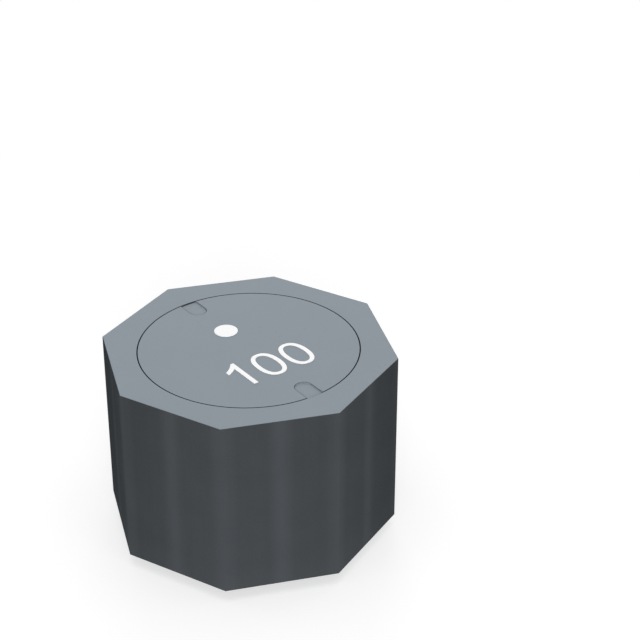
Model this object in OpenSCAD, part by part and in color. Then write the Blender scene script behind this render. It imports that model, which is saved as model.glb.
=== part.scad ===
// Shielded surface-mount power inductor, 12 mm across the flats.
// A ferrite drum core carries two layers of enamelled copper wire. An octagonal
// ferrite sleeve closes the magnetic path round it, and two tinned terminals
// under the lower flange take the ends of the wire.
// The seating plane is z = 0, the axis of the drum core is the Z axis, and the
// wire starts on the +Y side, under the white dot.

/* [Shield core] */
// Width of the octagonal sleeve across its flats
across_flats = 12; // [11.6:0.1:14]
// Height of the sleeve
shield_h = 8.2; // [7.6:0.1:10]
// Gap all round between the drum core's flanges and the sleeve's bore
core_gap = 0.04; // [0.03:0.01:0.1]

/* [Drum core] */
// Diameter of both flanges
flange_d = 9.58; // [8.7:0.02:10.4]
// Diameter of the winding post
post_d = 5; // [4.4:0.1:5.2]
// Thickness of the upper flange
upper_flange_t = 1.3; // [1:0.1:1.8]
// Thickness of the lower flange
lower_flange_t = 1.5; // [1.2:0.1:2]
// How far the lower flange stands out of the sleeve
flange_proud = 0.35; // [0.2:0.05:0.6]
// Radius where the post runs into the flanges
post_fillet = 0.25; // [0.1:0.05:0.25]
// Width of the two round-ended pockets in the top face
pocket_w = 0.8; // [0.5:0.1:1.2]
// Length of each pocket, from the rim inwards
pocket_len = 1.18; // [0.9:0.02:1.6]
// Depth of the pockets
pocket_depth = 0.05; // [0.02:0.01:0.2]
// Width of the two wire slots through the lower flange
slot_w = 1; // [0.95:0.05:1.2]

/* [Winding] */
// Diameter of the wire over its enamel
wire_d = 0.7; // [0.5:0.05:0.75]
// Free space between neighbouring turns
turn_gap = 0.015; // [0.01:0.005:0.1]
// How far both leads stand outside the outer layer, from wire centre to wire centre
lead_offset = 0.1; // [0.05:0.05:0.3]
// Bend radius of both leads, at the middle of the wire
lead_bend_r = 0.5; // [0.45:0.05:0.55]
// Height of the cut wire ends above the seating plane
lead_end_z = 0.05; // [0.03:0.01:0.1]

/* [Terminals] */
// Width of each terminal
terminal_w = 4; // [3:0.1:5]
// Thickness of the terminal plate
terminal_t = 0.2; // [0.15:0.05:0.3]
// Free distance between the two terminals
terminal_spacing = 3.8; // [3:0.1:4.6]
// How far a terminal stays inside the rim of the flange
terminal_inset = 0.15; // [0.1:0.05:0.25]
// Radius of a terminal's inner corners
terminal_corner_r = 0.25; // [0.1:0.05:0.5]
// Radial room for solder between a wire end and its hole
solder_gap = 0.1; // [0.05:0.01:0.12]
// Height of the solder fillet above the terminal
solder_rise = 0.3; // [0.15:0.05:0.5]
// How far the solder stays back from the seating plane
solder_recess = 0.02; // [0.01:0.01:0.04]

/* [Adhesive] */
// Thickness of the adhesive between a terminal and the flange
terminal_bond_t = 0.05; // [0.03:0.01:0.1]
// Margin of that adhesive inside the terminal's outline and round the wire slot
terminal_bond_margin = 0.2; // [0.1:0.05:0.3]
// Height of the adhesive ring round the upper flange
upper_bond_h = 0.7; // [0.4:0.05:0.9]
// How far that ring stays below the top face
upper_bond_inset = 0.3; // [0.1:0.05:0.5]
// Height of the adhesive round the lower flange
lower_bond_h = 0.7; // [0.4:0.05:0.9]
// How far that adhesive stays inside the lower mouth of the bore
lower_bond_inset = 0.1; // [0.05:0.05:0.3]

/* [Marking] */
// Diameter of the white dot at the start of the winding
dot_d = 1.04; // [0.6:0.02:1.4]
// Distance of the dot from the axis
dot_y = 1.755; // [1.4:0.005:2.4]
// Thickness of the ink
ink_t = 0.02; // [0.01:0.005:0.04]

/* [Hidden] */
$fn = 96;

shield_sides = 8;
flange_r = flange_d / 2;
post_r = post_d / 2;
bore_r = flange_r + core_gap;

drum_z = terminal_t + terminal_bond_t;
shield_z = drum_z + flange_proud;
top_z = shield_z + shield_h;
window_low_z = drum_z + lower_flange_t;
window_high_z = top_z - upper_flange_t;

// Cutters reach this far past the faces that they open.
cut_over = 1;

// The wire is swept as a tube with eight sides, one of them towards the post.
wire_r = wire_d / 2;
wire_sides = 8;
wire_flat = wire_r * cos(180 / wire_sides);
rings_per_turn = 20;
bend_rings = 6;
seat_gap = 0.01;

inner_layer_r = (post_r + seat_gap) / cos(180 / rings_per_turn) + wire_flat;
outer_layer_r = inner_layer_r + wire_d;
low_turn_z = window_low_z + wire_r + seat_gap;
high_turn_z = window_high_z - wire_r - seat_gap;
// The outer layer ends this many wire diameters above the start of the inner one.
last_turn_rise = 0.6;
last_turn_z = low_turn_z + last_turn_rise * wire_d;

// Both leads go down beside the outer layer, in the round inner ends of the slots.
lead_y = outer_layer_r + lead_offset;
slot_len = flange_r - lead_y + slot_w / 2;

// Between its bend and its layer a lead runs straight, as a tangent to the layer.
// In plan it is turned from the X direction by this angle, towards the post.
function toe_in(layer_r) = acos(layer_r / lead_y);
start_toe_in = toe_in(inner_layer_r);
finish_toe_in = toe_in(outer_layer_r);

// Angle round the post at which the bend of a lead at +Y ends.
function bend_angle(toe) =
    atan2(lead_y - lead_bend_r * sin(toe), -lead_bend_r * cos(toe));

// Whole and part turns of the layers. The two leads come out on opposite sides,
// which settles the odd part of the outer layer's last turn.
step_out_turns = 0.125;
min_pitch = wire_d + turn_gap;
first_angle = bend_angle(start_toe_in);
inner_turns = floor((high_turn_z - low_turn_z) / min_pitch);
leads_apart = (360 - bend_angle(finish_toe_in) - first_angle) / 360 - step_out_turns;
odd_part = leads_apart - floor(leads_apart);
outer_turns = odd_part + floor((high_turn_z - last_turn_z) / min_pitch - odd_part);

// Angles round the post at which the stretches of the wire end.
inner_angle = 90 + start_toe_in;
step_angle = first_angle + 360 * inner_turns;
outer_angle = step_angle + 360 * step_out_turns;
last_angle = outer_angle + 360 * outer_turns;
leaving_angle = last_angle - (90 + finish_toe_in - bend_angle(finish_toe_in));
ring_count = round((last_angle - first_angle) / 360 * rings_per_turn);

// Share of the way from one angle to another.
function share(angle, from, to) = (angle - from) / (to - from);

// Goes from a to b as t runs from 0 to 1, level at both ends.
function eased(a, b, t) = a + (b - a) * t * t * (3 - 2 * t);

// Distance of the wire from the axis at an angle round the post.
function turn_radius(angle) =
    angle < inner_angle ? inner_layer_r / cos(inner_angle - angle)
    : angle < step_angle ? inner_layer_r
    : angle < outer_angle
        ? eased(inner_layer_r, outer_layer_r, share(angle, step_angle, outer_angle))
    : angle < leaving_angle ? outer_layer_r
    : outer_layer_r / cos(angle - leaving_angle);

// Height of the wire at an angle round the post: up the inner layer, down the outer.
function turn_height(angle) =
    angle < step_angle
        ? low_turn_z + (high_turn_z - low_turn_z) * share(angle, first_angle, step_angle)
    : angle < outer_angle ? high_turn_z
    : high_turn_z + (last_turn_z - high_turn_z) * share(angle, outer_angle, last_angle);

function turn_point(angle) = [
    turn_radius(angle) * cos(angle),
    turn_radius(angle) * sin(angle),
    turn_height(angle)
];

// A station of the wire is its centre, its heading in plan and its climb in degrees.
function turn_station(angle) =
    let (ahead = turn_point(angle + 1) - turn_point(angle - 1),
        run = norm([ahead.x, ahead.y]))
    [turn_point(angle), [ahead.x, ahead.y] / run, atan2(ahead.z, run)];

// Stations in a lead, where side is 1 at the start and -1 at the finish. A climb of
// 0 is the level end of the bend, and 90 is where it has turned to the terminal.
function lead_heading(side, toe) = [-side * cos(toe), -sin(toe)];
function bend_station(side, toe, level_z, climb) =
    let (reach = lead_bend_r * (1 - sin(climb)))
    [
        [
            -reach * cos(toe),
            side * (lead_y - reach * sin(toe)),
            level_z - lead_bend_r * (1 - cos(climb))
        ],
        lead_heading(side, toe),
        side * climb
    ];
function end_station(side, toe) =
    [[0, side * lead_y, lead_end_z], lead_heading(side, toe), side * 90];

wire_stations = [
    end_station(1, start_toe_in),
    for (k = [bend_rings : -1 : 1])
        bend_station(1, start_toe_in, low_turn_z, 90 * k / bend_rings),
    for (k = [0 : ring_count])
        turn_station(first_angle + (last_angle - first_angle) * k / ring_count),
    for (k = [1 : bend_rings])
        bend_station(-1, finish_toe_in, last_turn_z, 90 * k / bend_rings),
    end_station(-1, finish_toe_in)
];

// Corners of the wire's section at a station.
function section(station) =
    let (heading = station[1], climb = station[2],
        outward = [heading.y, -heading.x, 0],
        upward = [-heading.x * sin(climb), -heading.y * sin(climb), cos(climb)])
    [
        for (k = [0 : wire_sides - 1])
            let (a = (k + 0.5) * 360 / wire_sides)
            station[0] + wire_r * (cos(a) * outward + sin(a) * upward)
    ];

module shield_core() {
    color("dimgray")
        difference() {
            translate([0, 0, shield_z])
                cylinder(h = shield_h, r = across_flats / 2 / cos(180 / shield_sides),
                    $fn = shield_sides);
            translate([0, 0, shield_z - cut_over])
                cylinder(h = shield_h + 2 * cut_over, r = bore_r);
        }
}

// Half section of the ring of space between the flanges, with rounded inner corners.
module window_section() {
    fillet = min(post_fillet, wire_r);
    window_h = window_high_z - window_low_z;
    translate([post_r + fillet, window_low_z])
        square([flange_r - post_r - fillet + cut_over, window_h]);
    translate([post_r, window_low_z + fillet])
        square([2 * fillet, window_h - 2 * fillet]);
    for (z = [window_low_z + fillet, window_high_z - fillet])
        translate([post_r + fillet, z])
            circle(r = fillet);
}

// Plan of an opening that runs in from the rim of a flange to a round end.
module rim_opening(w, len) {
    translate([0, flange_r - len + w / 2])
        circle(d = w);
    translate([-w / 2, flange_r - len + w / 2])
        square([w, len - w / 2 + cut_over]);
}

module drum_core() {
    color("slategray")
        difference() {
            rotate_extrude()
                difference() {
                    translate([0, drum_z])
                        square([flange_r, top_z - drum_z]);
                    window_section();
                }
            for (turn = [0, 180])
                rotate(turn) {
                    translate([0, 0, top_z - pocket_depth])
                        linear_extrude(pocket_depth + cut_over)
                            rim_opening(pocket_w, pocket_len);
                    translate([0, 0, drum_z - cut_over])
                        linear_extrude(lower_flange_t + 2 * cut_over)
                            rim_opening(slot_w, slot_len);
                }
        }
}

module winding() {
    n = wire_sides;
    last = len(wire_stations) - 1;
    color("chocolate")
        polyhedron(
            points = [for (station = wire_stations) each section(station)],
            faces = [
                [for (k = [n - 1 : -1 : 0]) k],
                for (s = [0 : last - 1], k = [0 : n - 1])
                    let (a = s * n + k, b = s * n + (k + 1) % n)
                    each [[a, b, a + n], [b, b + n, a + n]],
                [for (k = [0 : n - 1]) last * n + k]
            ]
        );
}

// Plan of the start terminal, drawn in by a margin.
module terminal_plan(margin = 0) {
    half_w = terminal_w / 2 - margin;
    inner_y = terminal_spacing / 2 + margin;
    corner = max(terminal_corner_r - margin, terminal_corner_r / 2);
    intersection() {
        circle(r = flange_r - terminal_inset - margin);
        union() {
            translate([-half_w, inner_y + corner])
                square([2 * half_w, flange_r]);
            translate([-half_w + corner, inner_y])
                square([2 * (half_w - corner), 2 * corner]);
            for (x = [-1, 1] * (half_w - corner))
                translate([x, inner_y + corner])
                    circle(r = corner);
        }
    }
}

module terminal() {
    color("lightgray")
        difference() {
            linear_extrude(terminal_t)
                terminal_plan();
            translate([0, lead_y, -cut_over])
                cylinder(h = terminal_t + 2 * cut_over, r = wire_r + solder_gap);
        }
}

module terminal_bond() {
    color("goldenrod")
        translate([0, 0, terminal_t])
            linear_extrude(terminal_bond_t)
                difference() {
                    terminal_plan(terminal_bond_margin);
                    rim_opening(slot_w + 2 * terminal_bond_margin,
                        slot_len + terminal_bond_margin);
                }
}

// Solder fills the terminal's hole and runs up the wire inside the slot.
module solder(side, toe) {
    hole_r = wire_r + solder_gap;
    color("silver")
        translate([0, side * lead_y, 0])
            difference() {
                union() {
                    translate([0, 0, solder_recess])
                        cylinder(h = terminal_t - solder_recess, r = hole_r);
                    translate([0, 0, terminal_t])
                        cylinder(h = solder_rise, r1 = hole_r, r2 = wire_r + solder_gap / 4);
                }
                translate([0, 0, -cut_over])
                    rotate(side * toe + 180 / wire_sides)
                        cylinder(h = terminal_t + solder_rise + 2 * cut_over, r = wire_r,
                            $fn = wire_sides);
            }
}

module bond_ring(z, h) {
    translate([0, 0, z])
        difference() {
            cylinder(h = h, r = bore_r);
            translate([0, 0, -cut_over])
                cylinder(h = h + 2 * cut_over, r = flange_r);
        }
}

module upper_core_bond() {
    color("goldenrod")
        bond_ring(top_z - upper_bond_inset - upper_bond_h, upper_bond_h);
}

// The adhesive leaves the mouths of the wire slots open.
module lower_core_bond() {
    color("goldenrod")
        difference() {
            bond_ring(shield_z + lower_bond_inset, lower_bond_h);
            for (turn = [0, 180])
                rotate(turn)
                    translate([-slot_w / 2 - terminal_bond_margin, 0, shield_z])
                        cube([slot_w + 2 * terminal_bond_margin, bore_r + cut_over,
                            lower_bond_inset + lower_bond_h + cut_over]);
        }
}

module polarity_dot() {
    color("white")
        translate([0, dot_y, top_z])
            cylinder(h = ink_t, d = dot_d);
}

shield_core();
drum_core();
winding();
terminal();  // start_terminal
rotate(180) terminal();  // finish_terminal
terminal_bond();  // start_terminal_bond
rotate(180) terminal_bond();  // finish_terminal_bond
solder(1, start_toe_in);  // start_solder
solder(-1, finish_toe_in);  // finish_solder
upper_core_bond();
lower_core_bond();
polarity_dot();
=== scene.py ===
"""Looks of a shielded surface-mount inductor, dressed round its CAD model.

The seating plane is z = 0, the axis of the drum core is the Z axis, and the wire starts
on the +Y side, under the white dot. Sizes here are in millimetres, and each finished
mesh is brought to metres.
"""
import math

import bmesh
import bpy
from mathutils import Matrix, Vector


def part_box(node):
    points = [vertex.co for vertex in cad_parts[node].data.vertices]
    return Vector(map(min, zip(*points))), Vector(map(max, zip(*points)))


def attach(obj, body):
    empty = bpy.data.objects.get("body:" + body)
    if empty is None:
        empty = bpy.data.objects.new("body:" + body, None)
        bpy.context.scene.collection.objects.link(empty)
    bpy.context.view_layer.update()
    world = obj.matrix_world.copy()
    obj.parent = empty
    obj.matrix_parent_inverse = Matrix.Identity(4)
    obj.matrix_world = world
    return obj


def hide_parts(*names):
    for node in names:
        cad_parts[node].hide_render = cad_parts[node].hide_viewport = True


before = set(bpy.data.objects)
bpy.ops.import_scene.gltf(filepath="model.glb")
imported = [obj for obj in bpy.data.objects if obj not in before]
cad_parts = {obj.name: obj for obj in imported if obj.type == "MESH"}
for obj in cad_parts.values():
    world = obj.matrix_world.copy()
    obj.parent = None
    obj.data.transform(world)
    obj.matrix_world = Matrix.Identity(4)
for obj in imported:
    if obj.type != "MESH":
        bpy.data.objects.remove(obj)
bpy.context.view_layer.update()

MM = 0.001


def box_mm(node):
    """Lowest and highest corner of a CAD node, in millimetres."""
    low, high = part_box(node)
    return low / MM, high / MM


# Sizes that the frame gives
shield_low, shield_high = box_mm("shield_core")
drum_low, drum_high = box_mm("drum_core")
terminal_low, terminal_high = box_mm("start_terminal")
solder_low, solder_high = box_mm("start_solder")
upper_bond_low, upper_bond_high = box_mm("upper_core_bond")
lower_bond_low, lower_bond_high = box_mm("lower_core_bond")
dot_low, dot_high = box_mm("polarity_dot")

SHIELD_SIDES = 8
SHIELD_CORNER_R = shield_high.x
FLANGE_R = drum_high.x
TOP_Z = drum_high.z
DRUM_Z = drum_low.z
TERMINAL_T = terminal_high.z
TERMINAL_R = terminal_high.y
LEAD_Y = (solder_low.y + solder_high.y) / 2
HOLE_R = (solder_high.y - solder_low.y) / 2

# Sizes that lie inside a node and are repeated from the CAD model
CORE_GAP = 0.04
POST_R = 2.5
POST_FILLET = 0.25
UPPER_FLANGE_T = 1.3
LOWER_FLANGE_T = 1.5
POCKET_W = 0.8
POCKET_LEN = 1.18
POCKET_DEPTH = 0.05
SLOT_W = 1.0
WIRE_R = 0.35
TURN_GAP = 0.015
SEAT_GAP = 0.01
LEAD_BEND_R = 0.5
LEAD_END_Z = 0.05
TERMINAL_CORNER_R = 0.25
BOND_MARGIN = 0.2

# The outer layer ends this many wire diameters above the start of the inner one
LAST_TURN_RISE = 0.6

# Angle within which the wire steps out from the inner layer to the outer one
STEP_OUT = math.tau / 8

# The CAD wire has flat sides and straight pieces, which sets how far out it lies
CAD_WIRE_SIDES = 8
CAD_RINGS_PER_TURN = 20

BORE_R = FLANGE_R + CORE_GAP
WINDOW_LOW_Z = DRUM_Z + LOWER_FLANGE_T
WINDOW_HIGH_Z = TOP_Z - UPPER_FLANGE_T
SLOT_LEN = FLANGE_R - LEAD_Y + SLOT_W / 2
INNER_LAYER_R = ((POST_R + SEAT_GAP) / math.cos(math.pi / CAD_RINGS_PER_TURN)
                 + WIRE_R * math.cos(math.pi / CAD_WIRE_SIDES))
OUTER_LAYER_R = INNER_LAYER_R + 2 * WIRE_R

# Finishing sizes, too small for the CAD model
SHIELD_EDGE = 0.02
BORE_EDGE = 0.011
FLANGE_EDGE = 0.06
# The pockets' slanted lips are left dark, a line of painted shade round each pocket
POCKET_LIP = 0.018
POCKET_LIP_H = 0.005
SLOT_EDGE = 0.04
TERMINAL_EDGE = 0.02
FILM_EDGE = 0.012
INK_EDGE = 0.006
MENISCUS = 0.03
SOLDER_TIP = 0.02
BARE_LENGTH = 0.75

# Share by which the shading of the sleeve's walls is rounded
CORNER_SOFTNESS = 0.8

# How finely round forms are divided
ROUND_STEPS = 256
PRINT_STEPS = 96
HOLE_STEPS = 64
WIRE_SIDES = 20
RINGS_PER_TURN = 64
LEAD_RINGS = 12

# Cutters reach this far past the faces that they open
CUT_OVER = 1.0

# Points closer together than this are merged
WELD = 0.0001

# Edges that turn by more than this are shaded sharp
SHARP_ANGLE = math.radians(32)

# A level face has a normal with an upright part above the first, and a wall below the second
LEVEL_LIMIT = 0.98
WALL_LIMIT = 0.1

# Numbers of the two finishes that a core has. The lapped one is pale partly from painted
# light from above, and the pressed one is dark partly from painted shade
LAPPED_LIT = 0
PRESSED_SHADED = 1

# Printed value code: places and sizes of its digits
DIGIT_BASE_Y = -2.576
DIGIT_H = 1.872
ONE_RIGHT_X = -1.295
ONE_STEM_W = 0.212
ONE_FLAG_REACH = 0.685
ONE_SHOULDER_W = 0.15
ZERO_CENTRES_X = (-0.106, 1.342)
ZERO_HALF_W = 0.608
ZERO_OVERSHOOT = 0.006
ZERO_SIDE_STROKE = 0.211
ZERO_END_STROKE = 0.182
ZERO_SQUARENESS = 2.3

# The floor lies a little below the seating plane, so that the terminals' undersides stay clear
FLOOR_HALF_W = 600.0
FLOOR_SINK = 0.004

# Distances from the axis between which the floor goes over into plain white
SHADOW_R = 20
WHITE_R = 45

# Light from all round, where 1 is white
AMBIENT = 0.462

# Camera, as found from the photograph, with its angles in degrees
CAMERA_AT = (-36.864, -54.478, 48.065)
CAMERA_TURN = -36.763
CAMERA_PITCH = 29.974
CAMERA_LENS = 99.69
CAMERA_SENSOR_W = 36


# Node trees


class Value:
    """A socket of a node tree. Arithmetic and comparisons with it add Math nodes."""

    def __init__(self, graph, socket):
        self.graph = graph
        self.socket = socket

    def beside(self, name):
        """Another output of the same node."""
        return Value(self.graph, self.socket.node.outputs[name])

    def __add__(self, other):
        return self.graph.math("ADD", self, other)

    def __radd__(self, other):
        return self.graph.math("ADD", other, self)

    def __sub__(self, other):
        return self.graph.math("SUBTRACT", self, other)

    def __rsub__(self, other):
        return self.graph.math("SUBTRACT", other, self)

    def __mul__(self, other):
        return self.graph.math("MULTIPLY", self, other)

    def __rmul__(self, other):
        return self.graph.math("MULTIPLY", other, self)

    def __truediv__(self, other):
        return self.graph.math("DIVIDE", self, other)

    def __rtruediv__(self, other):
        return self.graph.math("DIVIDE", other, self)

    def __lt__(self, other):
        return self.graph.math("LESS_THAN", self, other)

    def __gt__(self, other):
        return self.graph.math("GREATER_THAN", self, other)


class Graph:
    """A node tree that is being filled."""

    def __init__(self, tree):
        self.tree = tree
        tree.nodes.clear()

    def node(self, kind, settings=None, sockets=None, output=0):
        """Adds a node: its settings first, then its sockets' values or links."""
        made = self.tree.nodes.new(kind)
        for name, setting in (settings or {}).items():
            setattr(made, name, setting)
        for name, value in (sockets or {}).items():
            if isinstance(value, Value):
                self.tree.links.new(value.socket, made.inputs[name])
            else:
                made.inputs[name].default_value = value
        return Value(self, made.outputs[output]) if made.outputs else None

    def math(self, operation, *inputs):
        """Adds a Math node."""
        return self.node("ShaderNodeMath", {"operation": operation}, dict(enumerate(inputs)))

    def seen(self):
        """1 where the camera, a mirror or glass looks at the surface, and 0 for light."""
        camera = self.node("ShaderNodeLightPath", output="Is Camera Ray")
        glossy = camera.beside("Is Glossy Ray")
        through = camera.beside("Is Transmission Ray")
        return self.math("MAXIMUM", camera, self.math("MAXIMUM", glossy, through))


class Finish(Graph):
    """A material, with what several finishes need."""

    def __init__(self, name):
        self.material = bpy.data.materials.new(name)
        self.material.use_nodes = True
        super().__init__(self.material.node_tree)

    def place(self):
        """Place on the object, in millimetres."""
        coordinates = self.node("ShaderNodeTexCoord", output="Object")
        return self.stretched(coordinates, (1 / MM,) * 3)

    def stretched(self, vector, factors):
        """Vector with each of its parts multiplied by a factor of its own."""
        return self.node("ShaderNodeVectorMath", {"operation": "MULTIPLY"}, {0: vector, 1: factors})

    def axes(self, vector):
        """The three parts of a vector."""
        x = self.node("ShaderNodeSeparateXYZ", sockets={0: vector}, output="X")
        return x, x.beside("Y"), x.beside("Z")

    def noise(self, vector, scale, detail=2.0, distortion=0.0):
        """Noise of about -0.5 to 0.5, with features of about 1 / scale millimetres."""
        sockets = {"Vector": vector, "Scale": scale, "Detail": detail, "Distortion": distortion}
        return self.node("ShaderNodeTexNoise", sockets=sockets, output="Fac") - 0.5

    def pores(self, vector, scale, size, share):
        """1 in small round pores, which a share of the cells holds, and 0 elsewhere."""
        cells = self.node("ShaderNodeTexVoronoi", sockets={"Vector": vector, "Scale": scale},
                          output="Distance")
        pick = self.axes(cells.beside("Color"))[0]
        return self.eased(cells, size, size / 2) * (pick < share)

    def eased(self, value, start, end):
        """Goes from 0 at start to 1 at end."""
        sockets = {"Value": value, "From Min": start, "From Max": end}
        return self.node("ShaderNodeMapRange", {"interpolation_type": "SMOOTHSTEP"}, sockets)

    def mixed(self, factor, first, second):
        """Colour between two others. Inputs 6 and 7 of the node are its colours."""
        settings = {"data_type": "RGBA", "clamp_factor": True}
        return self.node("ShaderNodeMix", settings, {0: factor, 6: first, 7: second}, output=2)

    def relief(self, height, depth):
        """Normal of a surface with a relief of a depth in millimetres."""
        sockets = {"Height": height, "Distance": depth * MM, "Strength": 1.0}
        return self.node("ShaderNodeBump", sockets=sockets, output="Normal")

    def surface(self, sockets):
        """Ends the material in a Principled surface with these sockets."""
        shader = self.node("ShaderNodeBsdfPrincipled", sockets=sockets)
        self.node("ShaderNodeOutputMaterial", sockets={"Surface": shader})
        return self.material


# Finishes


def grey(level):
    """Colour without a tint, from 0 for black to 1 for white."""
    return (level, level, level, 1)


def ferrite_lapped_lit():
    """End faces, ground flat: pale blue-grey, partly painted light from above, with a fine even
    grain and a few pores.
    """
    dark = (0.240, 0.277, 0.311, 1)
    pale = (0.275, 0.318, 0.357, 1)
    # Pores are painted darker: painted shade in them
    pore_shade = (0.07, 0.08, 0.09, 1)
    finish = Finish("ferrite_lapped_lit")
    place = finish.place()
    grain = finish.noise(place, scale=11, detail=3)
    cloud = finish.noise(place, scale=0.45)
    lapping = finish.noise(finish.stretched(place, (1.2, 24, 1)), scale=1)
    pores = finish.pores(place, scale=3.2, size=0.09, share=0.45)
    shade = 0.5 + 0.22 * grain + 0.4 * cloud + 0.18 * lapping
    return finish.surface({
        "Base Color": finish.mixed(0.35 * pores, finish.mixed(shade, dark, pale), pore_shade),
        "Roughness": 0.6 + 0.12 * grain,
        "Specular IOR Level": 0.12,
        "Normal": finish.relief(0.6 * grain + 0.5 * lapping - pores, depth=0.004),
    })


def sleeve_painted_light(finish, place):
    """Painted light on the sleeve's outside, as how much paler it is than plain ferrite: a painted
    highlight band up each corner and another up the middle of each face, and painted light from
    the floor towards its lower end. It is 0 in the bore and on the drum core."""
    mid_wall_r = BORE_R + 0.5
    foot_z = shield_low.z + 1.6
    spacing = math.tau / (2 * SHIELD_SIDES)
    stripe_half_w = 0.28
    x, y, z = finish.axes(place)
    outside = x * x + y * y > mid_wall_r ** 2
    angle = finish.math("ARCTAN2", y, x)
    at_corner = finish.math("COSINE", angle * SHIELD_SIDES)
    from_stripe = finish.math("PINGPONG", finish.math("ABSOLUTE", angle) / spacing, 0.5)
    # Painted highlight bands, a little stronger up the middle of a face than at a corner
    painted_band = finish.eased(from_stripe, stripe_half_w, 0.0) * (0.32 - 0.04 * at_corner)
    # Painted light from the floor: paler towards the lower end, and more so in the lowest part
    lower = finish.eased(z, shield_high.z, shield_low.z)
    painted_floor_light = finish.eased(z, foot_z, shield_low.z)
    return (painted_band + 0.15 * lower + 0.16 * painted_floor_light) * outside


def ferrite_pressed_shaded():
    """Walls as they leave the die and the kiln: dark, partly painted shade, matt, with faint upright
    streaks. On the sleeve's outside it also has painted highlight bands and painted floor light.
    """
    dark = (0.0500, 0.0562, 0.0612, 1)
    pale = (0.0872, 0.0968, 0.1060, 1)
    # Pores are painted darker: painted shade in them
    pore_shade = (0.02, 0.022, 0.025, 1)
    finish = Finish("ferrite_pressed_shaded")
    place = finish.place()
    grain = finish.noise(place, scale=13, detail=3)
    cloud = finish.noise(place, scale=0.6)
    streaks = finish.noise(finish.stretched(place, (3.2, 3.2, 0.1)), scale=1)
    pores = finish.pores(place, scale=4, size=0.08, share=0.4)
    # The shade takes in the sleeve's painted highlight bands and painted floor light
    shade = 0.31 + 0.26 * grain + 0.26 * cloud + 0.16 * streaks + sleeve_painted_light(finish, place)
    return finish.surface({
        "Base Color": finish.mixed(0.4 * pores, finish.mixed(shade, dark, pale), pore_shade),
        "Roughness": 0.72 + 0.12 * grain,
        "Specular IOR Level": 0.0,
        "Normal": finish.relief(0.8 * grain + 0.4 * streaks - pores, depth=0.006),
    })


def enamelled_copper():
    """Copper under amber enamel, stripped and tinned at both ends."""
    amber = (0.42, 0.125, 0.030, 1)
    pale_amber = (0.58, 0.205, 0.060, 1)
    tin = (0.60, 0.60, 0.59, 1)
    pale_tin = (0.74, 0.74, 0.73, 1)
    finish = Finish("enamelled_copper")
    place = finish.place()
    tint = finish.noise(place, scale=0.7)
    drawing = finish.noise(place, scale=16)
    bare_end = finish.node("ShaderNodeAttribute", {"attribute_name": "bare_end"}, output="Fac")
    bare = finish.eased(bare_end + 0.2 * drawing, 0.35, 0.65)
    enamel = finish.mixed(0.5 + 1.4 * tint, amber, pale_amber)
    tinned = finish.mixed(0.5 + drawing, tin, pale_tin)
    return finish.surface({
        "Base Color": finish.mixed(bare, enamel, tinned),
        "Metallic": 1.0,
        "Roughness": 0.26 + 0.12 * bare + 0.08 * drawing,
        "Coat Weight": 0.6 - 0.6 * bare,
        "Coat Roughness": 0.12,
        "Normal": finish.relief(drawing, depth=0.002),
    })


def tinned_plate():
    """Terminal plates: matt tin with faint rolling lines and soft blotches."""
    dull = (0.58, 0.575, 0.56, 1)
    pale = (0.74, 0.735, 0.72, 1)
    finish = Finish("tinned_plate")
    place = finish.place()
    rolling = finish.noise(finish.stretched(place, (0.5, 18, 6)), scale=1)
    blotch = finish.noise(place, scale=1.6, detail=3)
    grain = finish.noise(place, scale=14)
    return finish.surface({
        "Base Color": finish.mixed(0.5 + 0.5 * rolling + 0.7 * blotch, dull, pale),
        "Metallic": 1.0,
        "Roughness": 0.36 + 0.16 * blotch + 0.1 * grain,
        "Normal": finish.relief(rolling + 0.5 * grain, depth=0.003),
    })


def solder():
    """Bright solder with a soft grain where it has set."""
    dull = (0.62, 0.62, 0.61, 1)
    bright = (0.80, 0.80, 0.79, 1)
    finish = Finish("solder")
    place = finish.place()
    grain = finish.noise(place, scale=7, detail=3, distortion=0.6)
    frost = finish.noise(place, scale=2.2)
    return finish.surface({
        "Base Color": finish.mixed(0.5 + 1.2 * grain, dull, bright),
        "Metallic": 1.0,
        "Roughness": 0.24 + 0.18 * frost + 0.1 * grain,
        "Normal": finish.relief(grain, depth=0.006),
    })


def epoxy():
    """Cured adhesive: dark, smooth and a little glossy, with filler in it."""
    dark = (0.014, 0.0135, 0.013, 1)
    pale = (0.034, 0.031, 0.028, 1)
    finish = Finish("epoxy")
    place = finish.place()
    filler = finish.noise(place, scale=9, detail=3)
    flow = finish.noise(place, scale=1.1)
    return finish.surface({
        "Base Color": finish.mixed(0.5 + 0.8 * filler + 0.6 * flow, dark, pale),
        "Roughness": 0.42 + 0.1 * filler,
        "Specular IOR Level": 0.15,
        "Normal": finish.relief(flow + 0.3 * filler, depth=0.01),
    })


def white_ink():
    """Pad-printed ink: white, matt, a little thin in places."""
    finish = Finish("white_ink")
    place = finish.place()
    grain = finish.noise(place, scale=15)
    cover = finish.noise(place, scale=3.5, detail=3)
    return finish.surface({
        "Base Color": finish.mixed(0.6 + 0.4 * grain + 0.5 * cover, grey(0.95), grey(0.99)),
        "Roughness": 0.5 + 0.15 * grain,
        "Specular IOR Level": 0.3,
        "Normal": finish.relief(grain, depth=0.002),
    })


# Outlines, as lists of points


def arc(radius, first, last, centre_y=0.0, steps=24):
    """Points of an arc round a centre on the Y axis, between two angles."""
    angles = [first + (last - first) * k / steps for k in range(steps + 1)]
    return [(radius * math.cos(a), centre_y + radius * math.sin(a)) for a in angles]


def circle(radius, centre=(0.0, 0.0), steps=ROUND_STEPS):
    """Points of a circle."""
    angles = [math.tau * k / steps for k in range(steps)]
    return [(centre[0] + radius * math.cos(a), centre[1] + radius * math.sin(a)) for a in angles]


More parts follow.
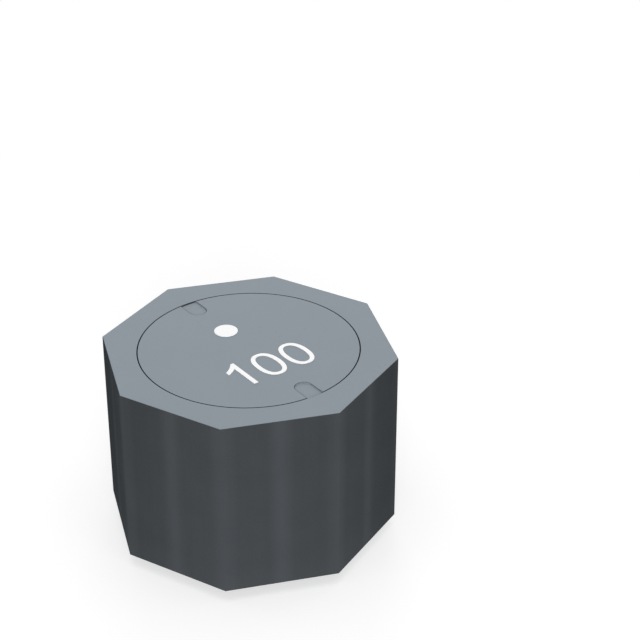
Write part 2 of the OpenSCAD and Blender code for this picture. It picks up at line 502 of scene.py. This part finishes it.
def octagon():
    """Outline of the sleeve, divided as finely as its bore, with a corner on the X axis."""
    sector = math.tau / SHIELD_SIDES
    flat_r = SHIELD_CORNER_R * math.cos(sector / 2)
    points = []
    for k in range(ROUND_STEPS):
        a = math.tau * k / ROUND_STEPS
        radius = flat_r / math.cos(a % sector - sector / 2)
        points.append((radius * math.cos(a), radius * math.sin(a)))
    return points


def filleted(corners, steps=4):
    """Closed outline through corners (x, y, radius), with an arc at each that has a radius."""
    points = []
    count = len(corners)
    for k, (x, y, radius) in enumerate(corners):
        corner = Vector((x, y))
        if not radius:
            points.append(corner)
            continue
        back = (Vector(corners[k - 1][:2]) - corner).normalized()
        ahead = (Vector(corners[(k + 1) % count][:2]) - corner).normalized()
        half = back.angle(ahead) / 2
        centre = corner + (back + ahead).normalized() * radius / math.sin(half)
        first = corner + back * radius / math.tan(half) - centre
        last = corner + ahead * radius / math.tan(half) - centre
        sweep = first.angle(last)
        for j in range(steps + 1):
            t = j / steps
            share = math.sin((1 - t) * sweep) * first + math.sin(t * sweep) * last
            points.append(centre + share / math.sin(sweep))
    return points


def curved(start, control, end, steps=8):
    """Points of a curve from start towards a control point and on to end."""
    points = []
    for k in range(steps + 1):
        t = k / steps
        weights = ((1 - t) ** 2, 2 * t * (1 - t), t * t)
        places = list(zip(weights, (start, control, end)))
        points.append(tuple(sum(w * place[i] for w, place in places) for i in (0, 1)))
    return points


def oval(centre, half_w, half_h):
    """Outline between an ellipse and a rectangle, as the printed zeros have."""
    power = 2 / ZERO_SQUARENESS
    points = []
    for x, y in circle(1, steps=PRINT_STEPS):
        points.append((centre[0] + half_w * math.copysign(abs(x) ** power, x),
                       centre[1] + half_h * math.copysign(abs(y) ** power, y)))
    return points


# Meshes


def at_height(outline, z):
    """Points of a flat outline, brought to a height."""
    return [(x, y, z) for x, y in outline]


def lofted(loops, closed=False):
    """Mesh through loops of points. A closed one joins its last loop to its first, and
    any other is filled at both ends."""
    form = bmesh.new()
    rows = [[form.verts.new(point) for point in loop] for loop in loops]
    pairs = list(zip(rows, rows[1:]))
    if closed:
        pairs.append((rows[-1], rows[0]))
    for lower, upper in pairs:
        for k in range(len(lower)):
            n = (k + 1) % len(lower)
            form.faces.new((lower[k], lower[n], upper[n], upper[k]))
    if not closed:
        form.faces.new(rows[0])
        form.faces.new(rows[-1])
    bmesh.ops.recalc_face_normals(form, faces=form.faces)
    return form


def revolved(profile, closed=False):
    """Mesh of a profile of (radius, height) turned round the Z axis."""
    return lofted([at_height(circle(radius), z) for radius, z in profile], closed)


def mesh_of(form, name):
    """Mesh of a bmesh, which is freed."""
    mesh = bpy.data.meshes.new(name)
    form.to_mesh(mesh)
    form.free()
    return mesh


def joined(forms, name):
    """Mesh of several bmeshes, which are freed."""
    whole = bmesh.new()
    for form in forms:
        part = mesh_of(form, "part")
        whole.from_mesh(part)
        bpy.data.meshes.remove(part)
    return mesh_of(whole, name)


def placed(name, data):
    """New object in the scene."""
    item = bpy.data.objects.new(name, data)
    bpy.context.scene.collection.objects.link(item)
    return item


def evaluated(holder):
    """Mesh of a helper object with its modifiers worked in."""
    graph = bpy.context.evaluated_depsgraph_get()
    return bpy.data.meshes.new_from_object(
        holder.evaluated_get(graph), preserve_all_data_layers=True, depsgraph=graph)


def worked(data, modifiers=()):
    """Mesh of some data with modifiers worked in. Each is its type and its settings."""
    holder = placed("holder", data)
    for kind, settings in modifiers:
        modifier = holder.modifiers.new(kind.lower(), kind)
        for name, setting in settings.items():
            setattr(modifier, name, setting)
    mesh = evaluated(holder)
    bpy.data.objects.remove(holder)
    return mesh


def welded(mesh):
    """Merges points that all but coincide and turns the faces outwards."""
    form = bmesh.new()
    form.from_mesh(mesh)
    bmesh.ops.remove_doubles(form, verts=form.verts, dist=WELD)
    bmesh.ops.recalc_face_normals(form, faces=form.faces)
    return mesh_of(form, mesh.name)


def smoothed(mesh):
    """Shades a mesh smooth, apart from its sharp edges, with flat faces kept flat."""
    mesh.shade_smooth()
    mesh.set_sharp_from_angle(angle=SHARP_ANGLE)
    settings = {"mode": "FACE_AREA", "weight": 50, "keep_sharp": True}
    return worked(mesh, [("WEIGHTED_NORMAL", settings)])


def finished(name, mesh, materials, replaced=(), pick=None):
    """Makes a mesh a piece of the object. pick gives the material number of a face."""
    mesh.transform(Matrix.Scale(MM, 4))
    mesh.name = name
    mesh.materials.clear()
    for material in materials:
        mesh.materials.append(material)
    for face in mesh.polygons:
        face.material_index = pick(face) if pick else 0
    piece = placed(name, mesh)
    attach(piece, "root")
    if replaced:
        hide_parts(*replaced)


def flat_plate(outlines, low_z, high_z, edge):
    """Plate between two heights with rounded edges. The first outline is its rim, and the
    others are holes or plates of their own."""
    data = bpy.data.curves.new("plate", "CURVE")
    data.dimensions = "2D"
    data.fill_mode = "BOTH"
    data.extrude = (high_z - low_z) / 2 - edge
    data.bevel_depth = edge
    data.bevel_resolution = 2
    data.offset = -edge
    for outline in outlines:
        spline = data.splines.new("POLY")
        spline.points.add(len(outline) - 1)
        for point, place in zip(spline.points, outline):
            point.co = (*place, 0, 1)
        spline.use_cyclic_u = True
    mesh = welded(worked(data))
    mesh.transform(Matrix.Translation((0, 0, (low_z + high_z) / 2)))
    return mesh


# Pieces of the object


def is_level(face):
    """True for the flat top or underside of a piece, or of a step in it."""
    return abs(face.normal.z) > LEVEL_LIMIT


def is_wall(face):
    """True for a face that stands upright."""
    return abs(face.normal.z) < WALL_LIMIT


def sleeve_finish(face):
    """The sleeve is lapped on its two end faces, pale partly by painted light; its walls are dark
    partly by painted shade.
    """
    return LAPPED_LIT if is_level(face) else PRESSED_SHADED


def drum_finish(face):
    """The drum core is lapped on its two end faces and in the pockets of the upper one, pale partly
    by painted light. The slanted lips of the pockets are left as pressed, and so dark: a thin line
    of painted shade round each pocket."""
    z = face.center.z / MM
    within_rim = face.center.xy.length < (FLANGE_R - BORE_EDGE) * MM
    on_lower_end = is_level(face) and z < DRUM_Z + FLANGE_EDGE
    at_upper_end = z > TOP_Z - 2 * POCKET_DEPTH
    on_upper_end = at_upper_end and (is_level(face) or is_wall(face) and within_rim)
    return LAPPED_LIT if on_lower_end or on_upper_end else PRESSED_SHADED


def soften_corners(mesh):
    """Leans the shading of the outer walls towards the way out from the axis. Light then goes
    softly round the corners, while the walls stay flat and the corners sharp."""
    normals = [Vector(corner.vector) for corner in mesh.corner_normals]
    for face in mesh.polygons:
        if not is_wall(face) or face.normal.dot(face.center) < 0:
            continue
        for k in face.loop_indices:
            place = mesh.vertices[mesh.loops[k].vertex_index].co
            outward = Vector((place.x, place.y, 0)).normalized()
            normals[k] = face.normal.lerp(outward, CORNER_SOFTNESS).normalized()
    mesh.normals_split_custom_set(normals)


def make_shield(ferrites):
    """Octagonal sleeve with a round bore and finely broken edges."""
    low_z = shield_low.z
    high_z = shield_high.z
    outside = octagon()
    bore = circle(BORE_R)
    form = lofted([at_height(outside, low_z), at_height(outside, high_z),
                   at_height(bore, high_z), at_height(bore, low_z)], closed=True)
    weight = form.edges.layers.float.new("bevel_weight_edge")
    for edge in form.edges:
        if edge.calc_face_angle() > SHARP_ANGLE:
            on_bore = all(vert.co.xy.length < BORE_R + CORE_GAP for vert in edge.verts)
            edge[weight] = BORE_EDGE / SHIELD_EDGE if on_bore else 1.0
    bevel = {"width": SHIELD_EDGE, "segments": 3, "limit_method": "WEIGHT"}
    mesh = smoothed(worked(mesh_of(form, "shield"), [("BEVEL", bevel)]))
    soften_corners(mesh)
    finished("shield_sleeve", mesh, ferrites, ["shield_core"], sleeve_finish)


def rim_opening(width, length, grow):
    """Outline of an opening that runs in from the rim of a flange to a round end."""
    radius = width / 2 + grow
    centre_y = FLANGE_R - length + width / 2
    outer_y = FLANGE_R + CUT_OVER
    round_end = arc(radius, 0, -math.pi, centre_y, HOLE_STEPS // 2)
    return [(radius, outer_y), *round_end, (-radius, outer_y)]


def rim_cutter(width, length, levels, turn):
    """Cutter for such an opening, whose outline grows from level to level. Each level is its
    growth and its height, and turn is the opening's angle round the axis from +Y."""
    form = lofted([at_height(rim_opening(width, length, grow), z) for grow, z in levels])
    bmesh.ops.rotate(form, verts=form.verts, matrix=Matrix.Rotation(turn, 3, "Z"))
    return form


def drum_profile():
    """Half section of the drum core, from its lower face to its upper one."""
    outline = filleted([
        (0, DRUM_Z, 0),
        (FLANGE_R, DRUM_Z, FLANGE_EDGE),
        (FLANGE_R, WINDOW_LOW_Z, FLANGE_EDGE),
        (POST_R, WINDOW_LOW_Z, POST_FILLET),
        (POST_R, WINDOW_HIGH_Z, POST_FILLET),
        (FLANGE_R, WINDOW_HIGH_Z, FLANGE_EDGE),
        (FLANGE_R, TOP_Z, BORE_EDGE),
        (0, TOP_Z, 0),
    ])
    return outline[1:-1]


def make_drum(ferrites):
    """Drum core: post and two flanges, with two shallow pockets and two wire slots."""
    lip = POCKET_LIP / 2
    pocket_levels = [(-lip, TOP_Z - POCKET_DEPTH), (-lip, TOP_Z - POCKET_LIP_H),
                     (lip, TOP_Z), (lip, TOP_Z + CUT_OVER)]
    slot_levels = [(SLOT_EDGE, DRUM_Z - CUT_OVER), (SLOT_EDGE, DRUM_Z), (0, DRUM_Z + SLOT_EDGE),
                   (0, WINDOW_LOW_Z - SLOT_EDGE), (SLOT_EDGE, WINDOW_LOW_Z),
                   (SLOT_EDGE, WINDOW_LOW_Z + POST_FILLET)]
    forms = []
    for turn in (0, math.pi):
        forms.append(rim_cutter(POCKET_W, POCKET_LEN, pocket_levels, turn))
        forms.append(rim_cutter(SLOT_W, SLOT_LEN, slot_levels, turn))
    cutters = placed("cutters", joined(forms, "cutters"))
    body = mesh_of(revolved(drum_profile()), "drum")
    cut = {"operation": "DIFFERENCE", "solver": "EXACT", "object": cutters}
    mesh = smoothed(welded(worked(body, [("BOOLEAN", cut)])))
    bpy.data.objects.remove(cutters)
    finished("drum_body", mesh, ferrites, ["drum_core"], drum_finish)


def bend_angle(toe):
    """Angle round the axis at which the bend of a lead at +Y ends. toe is the angle between
    the level part of the lead and the X direction."""
    return math.atan2(LEAD_Y - LEAD_BEND_R * math.sin(toe), -LEAD_BEND_R * math.cos(toe))


def lead_points(side, toe, level_z):
    """Points of a lead from its cut end to the level end of its bend, where side is 1 at +Y
    and -1 at -Y."""
    bend_z = level_z - LEAD_BEND_R
    points = []
    for k in range(LEAD_RINGS):
        points.append((0, side * LEAD_Y, LEAD_END_Z + k / LEAD_RINGS * (bend_z - LEAD_END_Z)))
    for k in range(LEAD_RINGS):
        climb = math.pi / 2 * (1 - k / LEAD_RINGS)
        reach = LEAD_BEND_R * (1 - math.sin(climb))
        points.append((-reach * math.cos(toe), side * (LEAD_Y - reach * math.sin(toe)),
                       level_z - LEAD_BEND_R * (1 - math.cos(climb))))
    return points


def wire_path():
    """Centre line of the wire, from the start terminal to the finish terminal: up the
    inner layer, over to the outer layer and down it. Each lead is a tangent to its layer."""
    low_z = WINDOW_LOW_Z + WIRE_R + SEAT_GAP
    high_z = WINDOW_HIGH_Z - WIRE_R - SEAT_GAP
    last_z = low_z + LAST_TURN_RISE * 2 * WIRE_R
    pitch = 2 * WIRE_R + TURN_GAP

    # The leads stand on opposite sides, which settles the part turn of the outer layer
    start_toe = math.acos(INNER_LAYER_R / LEAD_Y)
    finish_toe = math.acos(OUTER_LAYER_R / LEAD_Y)
    first = bend_angle(start_toe)
    joining = math.pi / 2 + start_toe
    step = first + math.tau * math.floor((high_z - low_z) / pitch)
    outer = step + STEP_OUT
    part_turn = (math.tau - bend_angle(finish_toe) - first - STEP_OUT) / math.tau % 1
    last = outer + math.tau * (part_turn + math.floor((high_z - last_z) / pitch - part_turn))
    leaving = last - (math.pi / 2 + finish_toe - bend_angle(finish_toe))

    def radius(a):
        if a < joining:
            return INNER_LAYER_R / math.cos(joining - a)
        if a < step:
            return INNER_LAYER_R
        if a < outer:
            t = (a - step) / (outer - step)
            return INNER_LAYER_R + (OUTER_LAYER_R - INNER_LAYER_R) * t * t * (3 - 2 * t)
        if a < leaving:
            return OUTER_LAYER_R
        return OUTER_LAYER_R / math.cos(a - leaving)

    def height(a):
        if a < step:
            return low_z + (high_z - low_z) * (a - first) / (step - first)
        if a < outer:
            return high_z
        return high_z + (last_z - high_z) * (a - outer) / (last - outer)

    count = round((last - first) / math.tau * RINGS_PER_TURN)
    angles = [first + (last - first) * k / count for k in range(count + 1)]
    turns = [(radius(a) * math.cos(a), radius(a) * math.sin(a), height(a)) for a in angles]
    finish_lead = lead_points(-1, finish_toe, last_z)
    return lead_points(1, start_toe, low_z) + turns + finish_lead[::-1]


def wire_tree():
    """Geometry nodes that sweep a round wire along its path and mark its bare ends."""
    tree = bpy.data.node_groups.new("wire_sweep", "GeometryNodeTree")
    face = tree.interface
    face.new_socket("Path", in_out="INPUT", socket_type="NodeSocketGeometry")
    face.new_socket("Wire radius", in_out="INPUT", socket_type="NodeSocketFloat")
    face.new_socket("Sides", in_out="INPUT", socket_type="NodeSocketInt")
    face.new_socket("Bare length", in_out="INPUT", socket_type="NodeSocketFloat")
    face.new_socket("Enamel", in_out="INPUT", socket_type="NodeSocketMaterial")
    face.new_socket("Wire", in_out="OUTPUT", socket_type="NodeSocketGeometry")

    graph = Graph(tree)
    path = graph.node("NodeGroupInput", output="Path")
    run = graph.node("GeometryNodeSplineParameter", output="Length")
    whole = graph.node("GeometryNodeSplineLength", output="Length")
    to_end = graph.math("MINIMUM", run, whole - run)
    marked = graph.node(
        "GeometryNodeStoreNamedAttribute", {"data_type": "FLOAT", "domain": "POINT"},
        {"Geometry": path, "Name": "bare_end", "Value": to_end < path.beside("Bare length")})
    section = graph.node(
        "GeometryNodeCurvePrimitiveCircle", {"mode": "RADIUS"},
        {"Resolution": path.beside("Sides"), "Radius": path.beside("Wire radius")})
    swept = graph.node("GeometryNodeCurveToMesh", {},
                       {"Curve": marked, "Profile Curve": section, "Fill Caps": True})
    real = graph.node("GeometryNodeRealizeInstances", {}, {"Geometry": swept})
    dressed = graph.node("GeometryNodeSetMaterial", {},
                         {"Geometry": real, "Material": path.beside("Enamel")})
    graph.node("NodeGroupOutput", {}, {"Wire": dressed})
    return tree


def make_wire(enamel):
    """One wire in two layers on the post, with a lead down to each terminal."""
    data = bpy.data.curves.new("wire_path", "CURVE")
    data.dimensions = "3D"
    data.twist_mode = "MINIMUM"
    spline = data.splines.new("POLY")
    path = wire_path()
    spline.points.add(len(path) - 1)
    for point, place in zip(spline.points, path):
        point.co = (*place, 1)
    holder = placed("holder", data)
    modifier = holder.modifiers.new("wire_sweep", "NODES")
    tree = wire_tree()
    modifier.node_group = tree
    values = {"Wire radius": WIRE_R, "Sides": WIRE_SIDES, "Bare length": BARE_LENGTH,
              "Enamel": enamel}
    for name, value in values.items():
        modifier[tree.interface.items_tree[name].identifier] = value
    mesh = evaluated(holder)
    holder.modifiers.remove(modifier)
    bpy.data.objects.remove(holder)
    finished("wire", smoothed(mesh), [enamel], ["winding"])


def terminal_outline(margin=0.0, notch=0.0):
    """Outline of the start terminal: straight inside, round along the rim. It can be drawn
    in by a margin, and have a round-ended notch for the lead."""
    half_w = terminal_high.x - margin
    inner_y = terminal_low.y + margin
    rim_r = TERMINAL_R - margin
    corner_r = max(TERMINAL_CORNER_R - margin, TERMINAL_CORNER_R / 2)
    side = math.acos(half_w / rim_r)
    rim_y = rim_r * math.sin(side)
    inside = filleted([(half_w, rim_y, 0), (half_w, inner_y, corner_r),
                       (-half_w, inner_y, corner_r), (-half_w, rim_y, 0)], steps=8)
    outline = [tuple(point) for point in inside]
    if not notch:
        return outline + arc(rim_r, math.pi - side, side)[1:-1]
    mouth = math.acos(notch / rim_r)
    outline += arc(rim_r, math.pi - side, math.pi - mouth)[1:]
    outline += arc(notch, math.pi, math.tau, LEAD_Y)
    return outline + arc(rim_r, mouth, side)[:-1]


def make_terminals(plating, adhesive):
    """Two tinned plates under the lower flange, each with a hole for its lead and an
    adhesive film over it."""
    hole = circle(HOLE_R, (0, LEAD_Y), HOLE_STEPS)
    film = terminal_outline(BOND_MARGIN, SLOT_W / 2 + BOND_MARGIN)
    for name, turn in (("start", 0), ("finish", math.pi)):
        half_turn = Matrix.Rotation(turn, 4, "Z")
        mesh = flat_plate([terminal_outline(), hole], 0, TERMINAL_T, TERMINAL_EDGE)
        mesh.transform(half_turn)
        finished(f"{name}_plate", smoothed(mesh), [plating], [f"{name}_terminal"])
        mesh = flat_plate([film], TERMINAL_T, DRUM_Z, FILM_EDGE)
        mesh.transform(half_turn)
        finished(f"{name}_film", smoothed(mesh), [adhesive], [f"{name}_terminal_bond"])


def solder_section():
    """Half section of a joint as (radius, height): a slightly hollow underside, a climb that
    narrows to a thin tip on the lead, and the way back down round the wire's end."""
    low_z = solder_low.z
    high_z = solder_high.z
    middle_z = (low_z + LEAD_END_Z) / 2
    tip_r = WIRE_R + SOLDER_TIP
    hollow = 2.2
    steps = 8
    under = [(HOLE_R * t, middle_z + (low_z - middle_z) * t * t) for t in (0.2, 0.45, 0.7, 0.9, 1)]
    climb = []
    for k in range(steps):
        t = k / steps
        climb.append((tip_r + (HOLE_R - tip_r) * (1 - t) ** hollow,
                      TERMINAL_T + (high_z - TERMINAL_T) * t))
    round_end = [(WIRE_R, high_z), (WIRE_R, LEAD_END_Z), (WIRE_R / 2, LEAD_END_Z)]
    return [*under, *climb, (tip_r, high_z), *round_end]


def make_solder(metal):
    """Solder that closes each hole under the wire's end and climbs the lead. Its climb is a
    little fuller on one side."""
    lean = 0.12
    for name, side in (("start", 1), ("finish", -1)):
        loops = []
        for radius, z in solder_section():
            on_climb = TERMINAL_T < z < solder_high.z
            sag = lean * (z - TERMINAL_T) if on_climb else 0
            loop = []
            for k in range(HOLE_STEPS):
                a = math.tau * k / HOLE_STEPS
                drop = sag * (1 + math.cos(a + side)) / 2
                loop.append((radius * math.cos(a), side * LEAD_Y + radius * math.sin(a), z - drop))
            loops.append(loop)
        mesh = mesh_of(lofted(loops), name)
        finished(f"{name}_joint", smoothed(mesh), [metal], [f"{name}_solder"])


def bond_section(low_z, high_z):
    """Section of an adhesive ring as (radius, height), with a hollow meniscus at each end."""
    def across(z, sag):
        shares = (0, 0.25, 0.5, 0.75, 1)
        return [(FLANGE_R + CORE_GAP * t, z + sag * 4 * t * (1 - t)) for t in shares]

    return across(low_z, MENISCUS) + across(high_z, -MENISCUS)[::-1]


def bond_arc(section, middle, half_sweep):
    """Stretch of adhesive round the flange, to both sides of an angle."""
    steps = ROUND_STEPS // 2
    loops = []
    for k in range(steps + 1):
        a = middle - half_sweep + 2 * half_sweep * k / steps
        loops.append([(r * math.cos(a), r * math.sin(a), z) for r, z in section])
    return lofted(loops)


def make_core_bonds(adhesive):
    """Adhesive in the gap round both flanges. The lower one leaves the slots open."""
    section = bond_section(upper_bond_low.z, upper_bond_high.z)
    mesh = mesh_of(revolved(section, closed=True), "bond")
    finished("upper_bond", smoothed(mesh), [adhesive], ["upper_core_bond"])
    section = bond_section(lower_bond_low.z, lower_bond_high.z)
    half_sweep = math.acos((SLOT_W / 2 + BOND_MARGIN) / BORE_R)
    mesh = joined([bond_arc(section, middle, half_sweep) for middle in (0, math.pi)], "bond")
    finished("lower_bond", smoothed(mesh), [adhesive], ["lower_core_bond"])


def digit_one():
    """Outline of the printed one: a stem with a flag."""
    right = ONE_RIGHT_X
    left = right - ONE_STEM_W
    tip = right - ONE_FLAG_REACH
    middle = (left + tip) / 2
    top = DIGIT_BASE_Y + DIGIT_H
    joint_y = top - 0.22 * DIGIT_H
    tip_high_y = top - 0.25 * DIGIT_H
    tip_low_y = top - 0.37 * DIGIT_H
    upper_bow = (middle + 0.1, tip_high_y + 0.18)
    lower_bow = (middle, tip_low_y + 0.09)
    return [
        (right, DIGIT_BASE_Y),
        (right, top),
        *curved((right - ONE_SHOULDER_W, top), upper_bow, (tip, tip_high_y)),
        *curved((tip, tip_low_y), lower_bow, (left, joint_y)),
        (left, DIGIT_BASE_Y),
    ]


def make_print(ink):
    """White dot at the start of the winding, and the plain value code."""
    dot_r = (dot_high.x - dot_low.x) / 2
    dot = circle(dot_r, (0, (dot_low.y + dot_high.y) / 2), PRINT_STEPS)
    mesh = flat_plate([dot], TOP_Z, dot_high.z, INK_EDGE)
    finished("start_dot", smoothed(mesh), [ink], ["polarity_dot"])
    outlines = [digit_one()]
    half_h = DIGIT_H / 2 + ZERO_OVERSHOOT
    for x in ZERO_CENTRES_X:
        centre = (x, DIGIT_BASE_Y + DIGIT_H / 2)
        outlines.append(oval(centre, ZERO_HALF_W, half_h))
        outlines.append(oval(centre, ZERO_HALF_W - ZERO_SIDE_STROKE, half_h - ZERO_END_STROKE))
    mesh = flat_plate(outlines, TOP_Z, dot_high.z, INK_EDGE)
    finished("value_code", smoothed(mesh), [ink])


# Floor, light and camera


def floor_finish():
    """Pale floor. It looks white and keeps the object's shadow, goes over into the white
    background further out, and can be seen through from below."""
    finish = Finish("pale_floor")
    for_light = finish.node("ShaderNodeBsdfDiffuse", sockets={"Color": grey(0.5)})
    lit = finish.node("ShaderNodeBsdfDiffuse", sockets={"Color": grey(0.55)})
    glow = finish.node("ShaderNodeEmission", sockets={"Color": grey(1), "Strength": 0.55})
    near = finish.node("ShaderNodeAddShader", sockets={0: lit, 1: glow})
    white = finish.node("ShaderNodeEmission", sockets={"Color": grey(1), "Strength": 1.0})
    x, y = finish.axes(finish.place())[:2]
    far = finish.eased(x * x + y * y, SHADOW_R ** 2, WHITE_R ** 2)
    for_eyes = finish.node("ShaderNodeMixShader", sockets={0: far, 1: near, 2: white})
    above = finish.node("ShaderNodeMixShader", sockets={0: finish.seen(), 1: for_light, 2: for_eyes})
    below = finish.node("ShaderNodeBsdfTransparent")
    is_below = finish.node("ShaderNodeNewGeometry", output="Backfacing")
    surface = finish.node("ShaderNodeMixShader", sockets={0: is_below, 1: above, 2: below})
    finish.node("ShaderNodeOutputMaterial", sockets={"Surface": surface})
    return finish.material


def make_floor():
    """Plane that the object stands on."""
    half = FLOOR_HALF_W
    form = bmesh.new()
    corners = [(-half, -half), (half, -half), (half, half), (-half, half)]
    form.faces.new([form.verts.new(corner) for corner in at_height(corners, -FLOOR_SINK)])
    mesh = mesh_of(form, "floor")
    mesh.transform(Matrix.Scale(MM, 4))
    mesh.materials.append(floor_finish())
    placed("floor", mesh)


def make_world():
    """Even soft light from all round, with a white background."""
    world = bpy.data.worlds.new("studio")
    bpy.context.scene.world = world
    world.use_nodes = True
    graph = Graph(world.node_tree)
    strength = graph.seen() * (1 - AMBIENT) + AMBIENT
    back = graph.node("ShaderNodeBackground", sockets={"Color": grey(1), "Strength": strength})
    graph.node("ShaderNodeOutputWorld", sockets={"Surface": back})


def soft_light(name, place, size, power):
    """Square soft light that faces the object, with its power in watts."""
    data = bpy.data.lights.new(name, "AREA")
    data.size = size * MM
    data.energy = power
    light = placed(name, data)
    light.location = Vector(place) * MM
    light.rotation_euler = (-Vector(place)).to_track_quat("-Z", "Y").to_euler()


def make_camera():
    """Camera at the photograph's place, with its angle of view."""
    data = bpy.data.cameras.new("camera")
    data.lens = CAMERA_LENS
    data.sensor_width = CAMERA_SENSOR_W
    data.clip_start = 0.001
    data.clip_end = 10
    camera = placed("camera", data)
    camera.location = Vector(CAMERA_AT) * MM
    camera.rotation_euler = (math.radians(90 - CAMERA_PITCH), 0, math.radians(CAMERA_TURN))
    bpy.context.scene.camera = camera


# The scene
bpy.context.scene.view_settings.view_transform = "Standard"
make_camera()
make_world()
make_floor()
soft_light("overhead_light", place=(-20, -30, 300), size=260, power=0.234)
soft_light("front_light", place=(-173, -271, 130), size=160, power=0.575)
soft_light("rear_light", place=(360, 530, 180), size=320, power=1.2)

ferrites = [ferrite_lapped_lit(), ferrite_pressed_shaded()]
adhesive = epoxy()
make_shield(ferrites)
make_drum(ferrites)
make_wire(enamelled_copper())
make_terminals(tinned_plate(), adhesive)
make_solder(solder())
make_core_bonds(adhesive)
make_print(white_ink())
